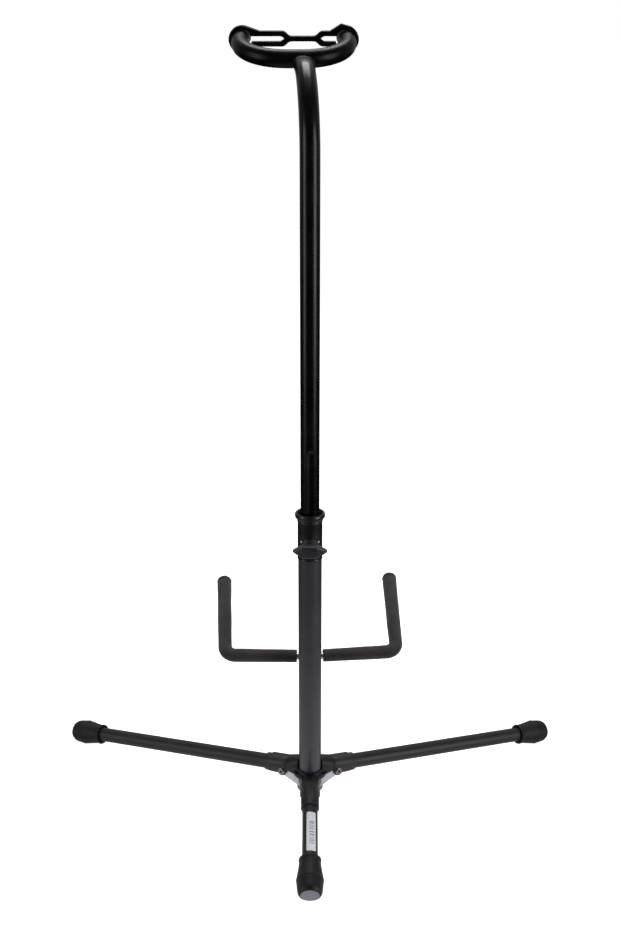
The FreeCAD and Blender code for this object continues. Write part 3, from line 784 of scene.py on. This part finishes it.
def make_highlight_pins():
    """Two small bright zinc pins beside the boss, put there as painted highlights for two glints
    on the boss's fillets.
    """
    profile = [(0, -1.0), (1.4, -1.0), (1.4, 0.6), (0.8, 1.1), (0, 1.2)]
    profile = fillet(profile, [0, 0, 0.5, 0.4, 0], steps=3)
    verts, faces = lathe([tuple(p) for p in profile], 24)
    all_verts = []
    all_faces = []
    for side in (-1, 1):
        across = pin_offset * side
        outward = Vector((across, -math.sqrt(collar_radius ** 2 - across ** 2), 0)).normalized()
        place = Matrix.Translation(outward * collar_radius + Z * clamp_z)
        matrix = place @ outward.to_track_quat("Z", "Y").to_matrix().to_4x4()
        offset = len(all_verts)
        all_verts += [matrix @ v for v in verts]
        all_faces += [tuple(i + offset for i in face) for face in faces]
    # the pins stand in for two glints: their bright zinc is a painted highlight
    piece(make_object("highlight_pins", all_verts, all_faces), "base", zinc)


def make_knob():
    """A wing knob: a faceted lens-shaped head on a flared neck."""
    corners = []
    for side in (-1, 1):
        for up in (-1, 1):
            corners += [(side * 7.0, -41.0, up * 5.6), (side * 7.4, -39.4, up * 6.8)]
            corners += [(side * 7.4, -31.5, up * 6.5)]
            corners += [(side * 18.1, -36.2, up * 1.1), (side * 17.7, -32.0, up * 1.1)]
    bm = bmesh.new()
    for corner in corners:
        bm.verts.new((Vector(corner) + Z * clamp_z) * MM)
    bmesh.ops.convex_hull(bm, input=bm.verts)
    bmesh.ops.dissolve_limit(bm, angle_limit=math.radians(1), verts=bm.verts, edges=bm.edges)
    mesh = bpy.data.meshes.new("knob_wing_moulding")
    bm.to_mesh(mesh)
    bm.free()
    knob = bpy.data.objects.new("knob_wing_moulding", mesh)
    scene.collection.objects.link(knob)
    bevelled(knob, 0.9, 3, 8)
    neck = [(0, 27.6), (5.2, 27.6), (5.6, 28.1), (5.6, 30.6), (6.0, 32.5), (0, 34)]
    neck = fillet(neck, [0, 0.3, 0.4, 1, 1, 0], steps=3)
    verts, faces = lathe([tuple(p) for p in neck], 48)
    boolean(knob, make_object("neck", verts, faces, screw_frame), "UNION")
    boolean(knob, cutter("bore", 3.02, 20, 37, 32, screw_frame), "DIFFERENCE")
    piece(knob, "clamp_handle", knob_plastic, ["clamp_knob"], sharp=30)


make_collar()
make_highlight_pins()
make_knob()

# ------------------------------------------------------------------------ base
foot_length = 42.5
foot_cup = 33.0           # how far the tube goes into the foot
face_radius = 10.2        # the pale end face lies within this radius
face_depth = 2.0          # and within this of the foot's end
face_lean = 0.11          # how much the end face leans back below the leg's axis
lean_length = 9.0         # and the lean dies out over this length of the foot


def make_foot(hand):
    """A rubber cup: a pale end face in a rounded rim, a ridge, a taper and a lip on the tube."""
    azimuth, reach = legs[hand]
    profile = [(0, 0.5), (9.9, 0.3), (10.3, 0.02), (11.4, 0.6), (12.9, 3.4), (13.5, 6.5)]
    profile += [(14.5, 16.2), (14.85, 17.4), (14.5, 18.6), (12.5, 31.0), (11.75, 36.5)]
    profile += [(11.7, 38.4), (12.25, 41.0), (11.9, 42.4), (9.9, 42.1), (8.9, 40.0)]
    profile += [(8.62, foot_length - foot_cup), (0, foot_length - foot_cup)]
    radii = [0, 0.5, 0.4, 1.2, 2.5, 4, 0.5, 0.4, 0.8, 8, 2.0, 1.0, 0.4, 0.4, 0.5, 0.8, 0, 0]
    profile = fillet(profile, radii, steps=4)
    verts, faces = lathe([tuple(p) for p in profile], 80)
    stand = (-X).to_track_quat("Z", "Y").to_matrix().to_4x4()
    matrix = leg_frame(azimuth, reach) @ Matrix.Translation(X * leg_length(reach)) @ stand
    down = stand.to_3x3().inverted() @ -Z
    placed = []
    for v in verts:
        leaned = v + Z * max(0.0, v.dot(down)) * face_lean * max(0.0, 1 - v.z / lean_length)
        spot = matrix @ leaned
        placed.append(Vector((spot.x, spot.y, max(spot.z, 0.0))))    # flat on the floor
    pale = []
    for face in faces:
        widest = max(math.hypot(verts[i].x, verts[i].y) for i in face)
        pale.append(widest < face_radius and min(verts[i].z for i in face) < face_depth)
    foot = make_object("foot_rubber_" + hand, placed, faces)
    piece(foot, hand + "_leg", [foot_rubber, foot_face], ["foot_" + hand])
    for polygon, is_pale in zip(foot.data.polygons, pale):
        polygon.material_index = int(is_pale)


for hand in legs:
    make_foot(hand)
    socket = eased_copy("leg_socket_" + hand, "leg_socket_moulding_" + hand, 0.7, 3)
    piece(socket, hand + "_leg", socket_plastic, ["leg_socket_" + hand])

plate = eased_copy("hub_top_plate", "hub_pressed_plate", 0.5, 2)
piece(plate, "base", hub_paint, ["hub_top_plate"])
bracket = eased_copy("hub_bottom_bracket", "hub_plated_bracket", 0.35, 2)
piece(bracket, "base", zinc, ["hub_bottom_bracket"])

# ---------------------------------------------------------------------- cradle
cradle_half = 97.5        # from the rod's middle to an arm's corner
cradle_bow = 6.0          # how far forward of the middle the corners are
cradle_knee = 12.0        # where the rod starts to lean forward
cradle_corner = 13.0      # radius of the bend between the rod and an arm
cradle_arm = 115.0
cradle_tilt = math.radians(24)
cradle_splay = math.radians(1.5)
foam_start = 14.8         # distance from the column's axis
foam_low = 7.15           # radius beside the column
foam_high = 8.4           # and at the tip
foam_short = 6.0          # the sleeve stops this far short of the arm's length
foam_bore = 4.06
foam_rim = 0.7


def cradle_arm_direction(side):
    level = math.cos(cradle_tilt)
    across = side * level * math.sin(cradle_splay)
    return Vector((across, level * math.cos(cradle_splay), math.sin(cradle_tilt)))


def make_foam(side, hand):
    """A foam sleeve on the rod, uneven and creased inside its corner, and its domed tip."""
    knee = Vector((side * cradle_knee, 0, 0))
    corner = Vector((side * cradle_half, cradle_bow, 0))
    run_up = foam_start - side * cradle_place.x - cradle_knee
    start = knee + (corner - knee).normalized() * run_up
    direction = cradle_arm_direction(side)
    end = corner + direction * (cradle_arm - foam_short)
    path = edged(bent_path([start, corner, end], [cradle_corner], 1.3), foam_rim)
    along = lengths(path)
    total = along[-1]
    at_corner = min(range(len(path)), key=lambda i: (path[i] - corner).length)
    s_corner = along[at_corner]
    normal = (corner - start).cross(end - corner).normalized()
    inward = ((start + end) / 2 - corner).normalized()
    inner_side = normal.cross(tangents(path)[at_corner]).dot(inward)
    seed = 11.0 + side * 4.0

    def outer(s, a):
        t = s / total
        base = foam_low + (foam_high - foam_low) * t
        c = math.cos(a)
        slow = noise.noise(Vector((s * 0.035, seed, 0.0)))
        skew = noise.noise(Vector((s * 0.05, c * 0.7 + seed, math.sin(a) * 0.7)))
        lumps = noise.noise(Vector((s * 0.22, c * 1.6 + seed, math.sin(a) * 1.6)))
        near = math.exp(-((s - s_corner) / 9.0) ** 2)
        inside = max(0.0, c if inner_side > 0 else -c) ** 1.5
        crease = near * inside * (0.35 * math.cos((s - s_corner) * 1.55) - 0.25)
        bulge = near * (1 - inside) * 0.15
        return base + 0.28 * slow + 0.2 * skew + 0.09 * lumps + crease + bulge

    name = "foam_sleeve_" + hand
    sleeve_obj = sleeve(name, path, normal, outer, foam_bore, foam_rim, 56, cradle_frame)
    piece(sleeve_obj, "cradle", black_foam, ["cradle_foam_" + hand])
    rim = foam_high + 0.2
    profile = [(0, 0.06), (rim - 0.7, 0.06), (rim, 0.6), (rim + 0.05, 2.2)]
    profile += [(rim * 0.88, 4.8), (rim * 0.5, 6.6), (0, 7.0)]
    profile = fillet(profile, [0, 0.3, 0.5, 3, 3, 3, 0], steps=5)
    verts, faces = lathe([tuple(p) for p in profile], 56)
    dented = []
    for v in verts:
        wobble = noise.noise(Vector((v.x * 0.22 + seed, v.y * 0.22, v.z * 0.3)))
        dented.append(v * (1 + 0.035 * wobble) if v.z > 0.7 else v)
    stand = direction.to_track_quat("Z", "Y").to_matrix().to_4x4()
    place = cradle_frame @ Matrix.Translation(end) @ stand
    cap = make_object("foam_tip_" + hand, dented, faces, place)
    piece(cap, "cradle", black_foam, ["cradle_cap_" + hand])


make_foam(-1, "left")
make_foam(1, "right")
holder = eased_copy("cradle_bracket", "cradle_grip_bracket", 0.5, 2)
piece(holder, "base", hub_paint, ["cradle_bracket"])


# ----------------------------------------------------------------------- label
def label_finish():
    """White paper with plain grey bars that stand for print."""
    f = Finish("label_paper", 0.5, Specular_IOR_Level=0.4)
    cloud = f.noise(300, 4)
    ink_colour = (0.09, 0.11, 0.14)
    paper = f.mix(f.ramp(cloud, 0.3, 0.7), (0.88, 0.91, 0.96), (0.94, 0.955, 0.985))
    split = f.nodes.new("ShaderNodeSeparateXYZ")
    uv = f.nodes.new("ShaderNodeUVMap")
    uv.uv_map = "label"
    f.links.new(uv.outputs["UV"], split.inputs["Vector"])
    along = split.outputs["X"]
    across = split.outputs["Y"]
    bars = f.nodes.new("ShaderNodeTexNoise")
    bars.noise_dimensions = "1D"
    bars.inputs["Scale"].default_value = 26
    bars.inputs["Detail"].default_value = 1
    f.links.new(along, bars.inputs["W"])
    ink = f.ramp(bars.outputs["Fac"], 0.49, 0.53)
    margins = [(along, 0.2, 0.24), (along, 0.84, 0.80), (across, 0.28, 0.32), (across, 0.87, 0.83)]
    for value, low, high in margins:
        ink = f.math("MULTIPLY", ink, f.ramp(value, low, high))
    f.colour(f.mix(f.math("MULTIPLY", ink, 0.72), paper, ink_colour))
    f.roughness(f.ramp(cloud, 0.3, 0.7, 0.42, 0.58))
    f.bump(f.noise(1800, 3), 0.02)
    return f.material


def make_label():
    """A thin paper label with round corners, bent over the rear leg."""
    start, length, width, offset, corner = 66.0, 48.0, 10.6, 1.4, 1.3
    inner_radius, thick = 8.53, 0.16
    azimuth, reach = legs["rear"]
    stations = [corner * (1 - math.cos(math.radians(d))) for d in range(0, 91, 10)]
    stations += [corner + (length - 2 * corner) * k / 24 for k in range(1, 24)]
    stations += [length - s for s in stations[9::-1]]
    columns = 12
    layers = {}
    for radius in (inner_radius, inner_radius + thick):
        rows = []
        for s in stations:
            near = min(s, length - s)
            trim = 0.0
            if near < corner:
                trim = corner - math.sqrt(max(0.0, corner ** 2 - (corner - near) ** 2))
            half = width / 2 - trim
            row = []
            for k in range(columns + 1):
                y = offset - half + 2 * half * k / columns
                angle = y / inner_radius
                row.append(Vector((start + s, radius * math.sin(angle), radius * math.cos(angle))))
            rows.append(row)
        layers[radius] = rows
    low, high = layers.values()
    rings = [top + bottom[::-1] for top, bottom in zip(high, low)]
    verts, faces = skin(rings)
    count = len(rings[0])
    last = (len(rings) - 1) * count
    for k in range(columns):
        faces.append((k, count - 1 - k, count - 2 - k, k + 1))
        faces.append((last + k, last + k + 1, last + count - 2 - k, last + count - 1 - k))
    label = make_object("leg_label", verts, faces, leg_frame(azimuth, reach))
    layer = label.data.uv_layers.new(name="label")
    for loop in label.data.loops:
        v = verts[loop.vertex_index]
        angle = math.atan2(v.y, v.z)
        across = (angle * inner_radius - offset) / width + 0.5
        layer.data[loop.index].uv = ((v.x - start) / length, across)
    piece(label, "rear_leg", label_finish(), ["rear_leg_label"])


make_label()

# ------------------------------------------------------- finishes of CAD nodes
cad_finishes = {
    "outer_column": satin_paint,
    "column_end_plug": plastic,
    "mast_guide_plug": plastic,
    "clamp_nut": zinc,
    "clamp_pad": white_nylon,
    "clamp_screw": zinc,
    "hub_bolt": zinc,
    "cradle_rod": zinc,
    "cradle_screw": zinc,
    "yoke_rod": zinc,
}
for hand in legs:
    cad_finishes["leg_tube_" + hand] = leg_paint
    cad_finishes["pivot_rivet_" + hand] = rivet_metal
for node, finish in cad_finishes.items():
    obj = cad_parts[node]
    if not obj.material_slots:
        obj.data.materials.append(finish)
    for material_slot in obj.material_slots:
        material_slot.link = "OBJECT"
        material_slot.material = finish

# ------------------------------------------------------------ floor and lights
# The floor and the world are white to the camera. Other rays see a floor that glows only near
# the stand, and a world that is brighter on the yoke's side.
WHITE = (1, 1, 1, 1)
floor_radius = 9000.0
floor_drop = 0.4          # the floor lies this far below the feet
floor_strength = 0.93     # its glow to the camera
glow_near, glow_far = 0.12, 0.60          # metres from the column
glow_high, glow_low = 0.75, 0.008         # its glow to other rays, near and far
world_strength = 1.02
world_low, world_high = 0.03, 0.45        # its glow to other rays, level and towards +Y
world_edge = 0.9          # share of +Y in a ray's direction that gets the full glow

verts, faces = lathe([(0, -floor_drop), (floor_radius, -floor_drop)], 64)
floor = make_object("floor", verts, faces)
floor_finish = bpy.data.materials.new("pale_floor")
floor_finish.use_nodes = True
tree = floor_finish.node_tree
shader = tree.nodes["Principled BSDF"]
shader.inputs["Base Color"].default_value = (0.9, 0.9, 0.9, 1)
shader.inputs["Roughness"].default_value = 0.8
shader.inputs["Specular IOR Level"].default_value = 0.0
shader.inputs["Emission Color"].default_value = WHITE
shader.inputs["Emission Strength"].default_value = floor_strength
glow = tree.nodes.new("ShaderNodeEmission")
glow.inputs["Color"].default_value = WHITE
place = tree.nodes.new("ShaderNodeTexCoord").outputs["Object"]
distance = tree.nodes.new("ShaderNodeVectorMath")
distance.operation = "LENGTH"
tree.links.new(place, distance.inputs[0])
fade = map_range(tree, distance.outputs["Value"], glow_near, glow_far, glow_high, glow_low)
tree.links.new(fade, glow.inputs["Strength"])
seen = tree.nodes.new("ShaderNodeLightPath").outputs["Is Camera Ray"]
pick = tree.nodes.new("ShaderNodeMixShader")
tree.links.new(seen, pick.inputs["Fac"])
tree.links.new(glow.outputs["Emission"], pick.inputs[1])
tree.links.new(shader.outputs["BSDF"], pick.inputs[2])
tree.links.new(pick.outputs["Shader"], tree.nodes["Material Output"].inputs["Surface"])
floor.data.materials.append(floor_finish)

world = bpy.data.worlds.new("studio")
scene.world = world
world.use_nodes = True
tree = world.node_tree
direction = tree.nodes.new("ShaderNodeTexCoord").outputs["Generated"]
split = tree.nodes.new("ShaderNodeSeparateXYZ")
tree.links.new(direction, split.inputs["Vector"])
fade = map_range(tree, split.outputs["Y"], 0.0, world_edge, world_low, world_high)
seen = tree.nodes.new("ShaderNodeLightPath").outputs["Is Camera Ray"]
pick = tree.nodes.new("ShaderNodeMix")
tree.links.new(seen, pick.inputs["Factor"])
tree.links.new(fade, pick.inputs["A"])
pick.inputs["B"].default_value = world_strength
background = tree.nodes["Background"]
background.inputs["Color"].default_value = WHITE
tree.links.new(pick.outputs["Result"], background.inputs["Strength"])

light_aim = Vector((0, 0, 0.45))          # metres; the stand's middle


def softbox(name, azimuth, elevation, distance, width, height, power, tint=(1, 1, 1)):
    """An area light that looks at the stand's middle, in metres, degrees and watts.

    Azimuth 0 is the camera's side, and positive to the right.
    """
    light = bpy.data.lights.new(name, "AREA")
    light.shape = "RECTANGLE"
    light.size = width
    light.size_y = height
    light.energy = power
    light.color = tint
    obj = bpy.data.objects.new(name, light)
    scene.collection.objects.link(obj)
    a = math.radians(azimuth)
    e = math.radians(elevation)
    away = Vector((math.sin(a) * math.cos(e), -math.cos(a) * math.cos(e), math.sin(e)))
    obj.location = light_aim + away * distance
    obj.rotation_euler = away.to_track_quat("Z", "Y").to_euler()


softbox("left_box", -64, 2, 2.2, 0.9, 2.4, 22, (1.0, 0.985, 0.97))
softbox("right_box", 60, 2, 2.2, 1.0, 2.4, 36, (0.96, 0.97, 1.0))
softbox("top_box", 180, 66, 2.4, 1.4, 1.0, 34)

# ---------------------------------------------------------------------- camera
camera_place = (0, -1.048, 0.775)         # metres
camera_pitch = 18.4                       # degrees down from level
camera_data = bpy.data.cameras.new("camera")
camera_data.sensor_width = 36
camera_data.lens = 41.0
camera = bpy.data.objects.new("camera", camera_data)
scene.collection.objects.link(camera)
camera.location = camera_place
camera.rotation_euler = (math.radians(90 - camera_pitch), 0, 0)
scene.camera = camera
scene.view_settings.view_transform = "Standard"
